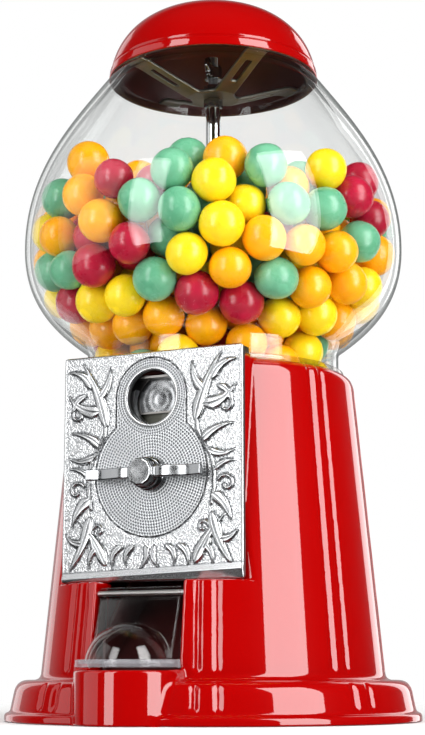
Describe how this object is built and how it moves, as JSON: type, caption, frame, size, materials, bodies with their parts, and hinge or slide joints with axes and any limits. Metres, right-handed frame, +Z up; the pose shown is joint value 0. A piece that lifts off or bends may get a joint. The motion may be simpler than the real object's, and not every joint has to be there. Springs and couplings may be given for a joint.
{
  "type": "gumball machine",
  "caption": "Coin-operated gumball machine: red fluted cast body and lid, glass globe, cast front plate with a turn handle, coin mechanism, candy wheel, chute, tray and clear flap.",
  "frame": {"origin": "on the floor, at the middle of the footprint (body flange and tray together)", "axes": "+Z up; the front plate, handle, flap and tray face -Y; +X is on the right of someone facing the front"},
  "size_m": [0.2114, 0.2196, 0.381],
  "materials": {
    "red": "gloss enamel",
    "chrome": "polished",
    "zinc": "as cast",
    "steel": "plain",
    "brass": "turned",
    "glass": "clear",
    "clear": "clear",
    "white": "moulded",
    "black": "matte",
    "gum": "candy shell"
  },
  "bodies": {
    "base": {"body_shell": "red", "base_plate": "steel", "bank_plug": "black", "base_nut": "steel", "globe": "glass", "globe_seat_ring": "clear", "gumballs": "gum", "centre_rod": "zinc", "rod_sleeve": "chrome", "sleeve_nut": "chrome", "globe_bracket": "steel", "bracket_nut": "zinc", "wing_nut": "zinc", "hopper_ring": "white", "hopper_plate": "zinc", "hopper_screw_1": "steel", "hopper_screw_2": "steel", "hopper_screw_3": "steel", "wheel_bush": "brass", "wheel_nut": "zinc", "ball_shield": "steel", "ball_chute": "white", "front_plate": "chrome", "backing_sheet": "steel", "mech_pan": "steel", "shaft_bushing": "zinc", "pawl_pin": "steel", "pawl_spring": "steel", "flap_pin": "chrome"},
    "lid": {"lid": "red"},
    "handle": {"handle": "chrome", "handle_shaft": "steel", "coin_wheel": "zinc", "drive_pinion": "zinc", "ratchet_wheel": "zinc", "shaft_clip": "steel"},
    "wheel": {"candy_wheel": "white"},
    "flap": {"flap": "clear"},
    "pawl": {"pawl": "steel"}
  },
  "joints": [
    {"name": "lid_lift", "type": "slide", "parent": "base", "child": "lid", "axis": [0, 0, 1], "range_m": [0, 0.08]},
    {"name": "handle_turn", "type": "hinge", "parent": "base", "child": "handle", "pos_m": [0, 0.00415, 0.1186], "axis": [0, 1, 0], "continuous": true},
    {"name": "wheel_turn", "type": "hinge", "parent": "base", "child": "wheel", "pos_m": [0, 0.00415, 0.13], "axis": [0, 0, 1], "continuous": true},
    {"name": "flap_swing", "type": "hinge", "parent": "base", "child": "flap", "pos_m": [0, -0.07285, 0.061], "axis": [-1, 0, 0], "range_deg": [0, 60]},
    {"name": "pawl_swing", "type": "hinge", "parent": "base", "child": "pawl", "pos_m": [0.019, -0.05115, 0.1036], "axis": [0, 1, 0], "range_deg": [0, 6], "stiffness_Nm_per_rad": 0.01, "springref_deg": -11.46}
  ],
  "couplings": [
    {"joint": "wheel_turn", "follows": "handle_turn", "ratio": 0.16667}
  ]
}
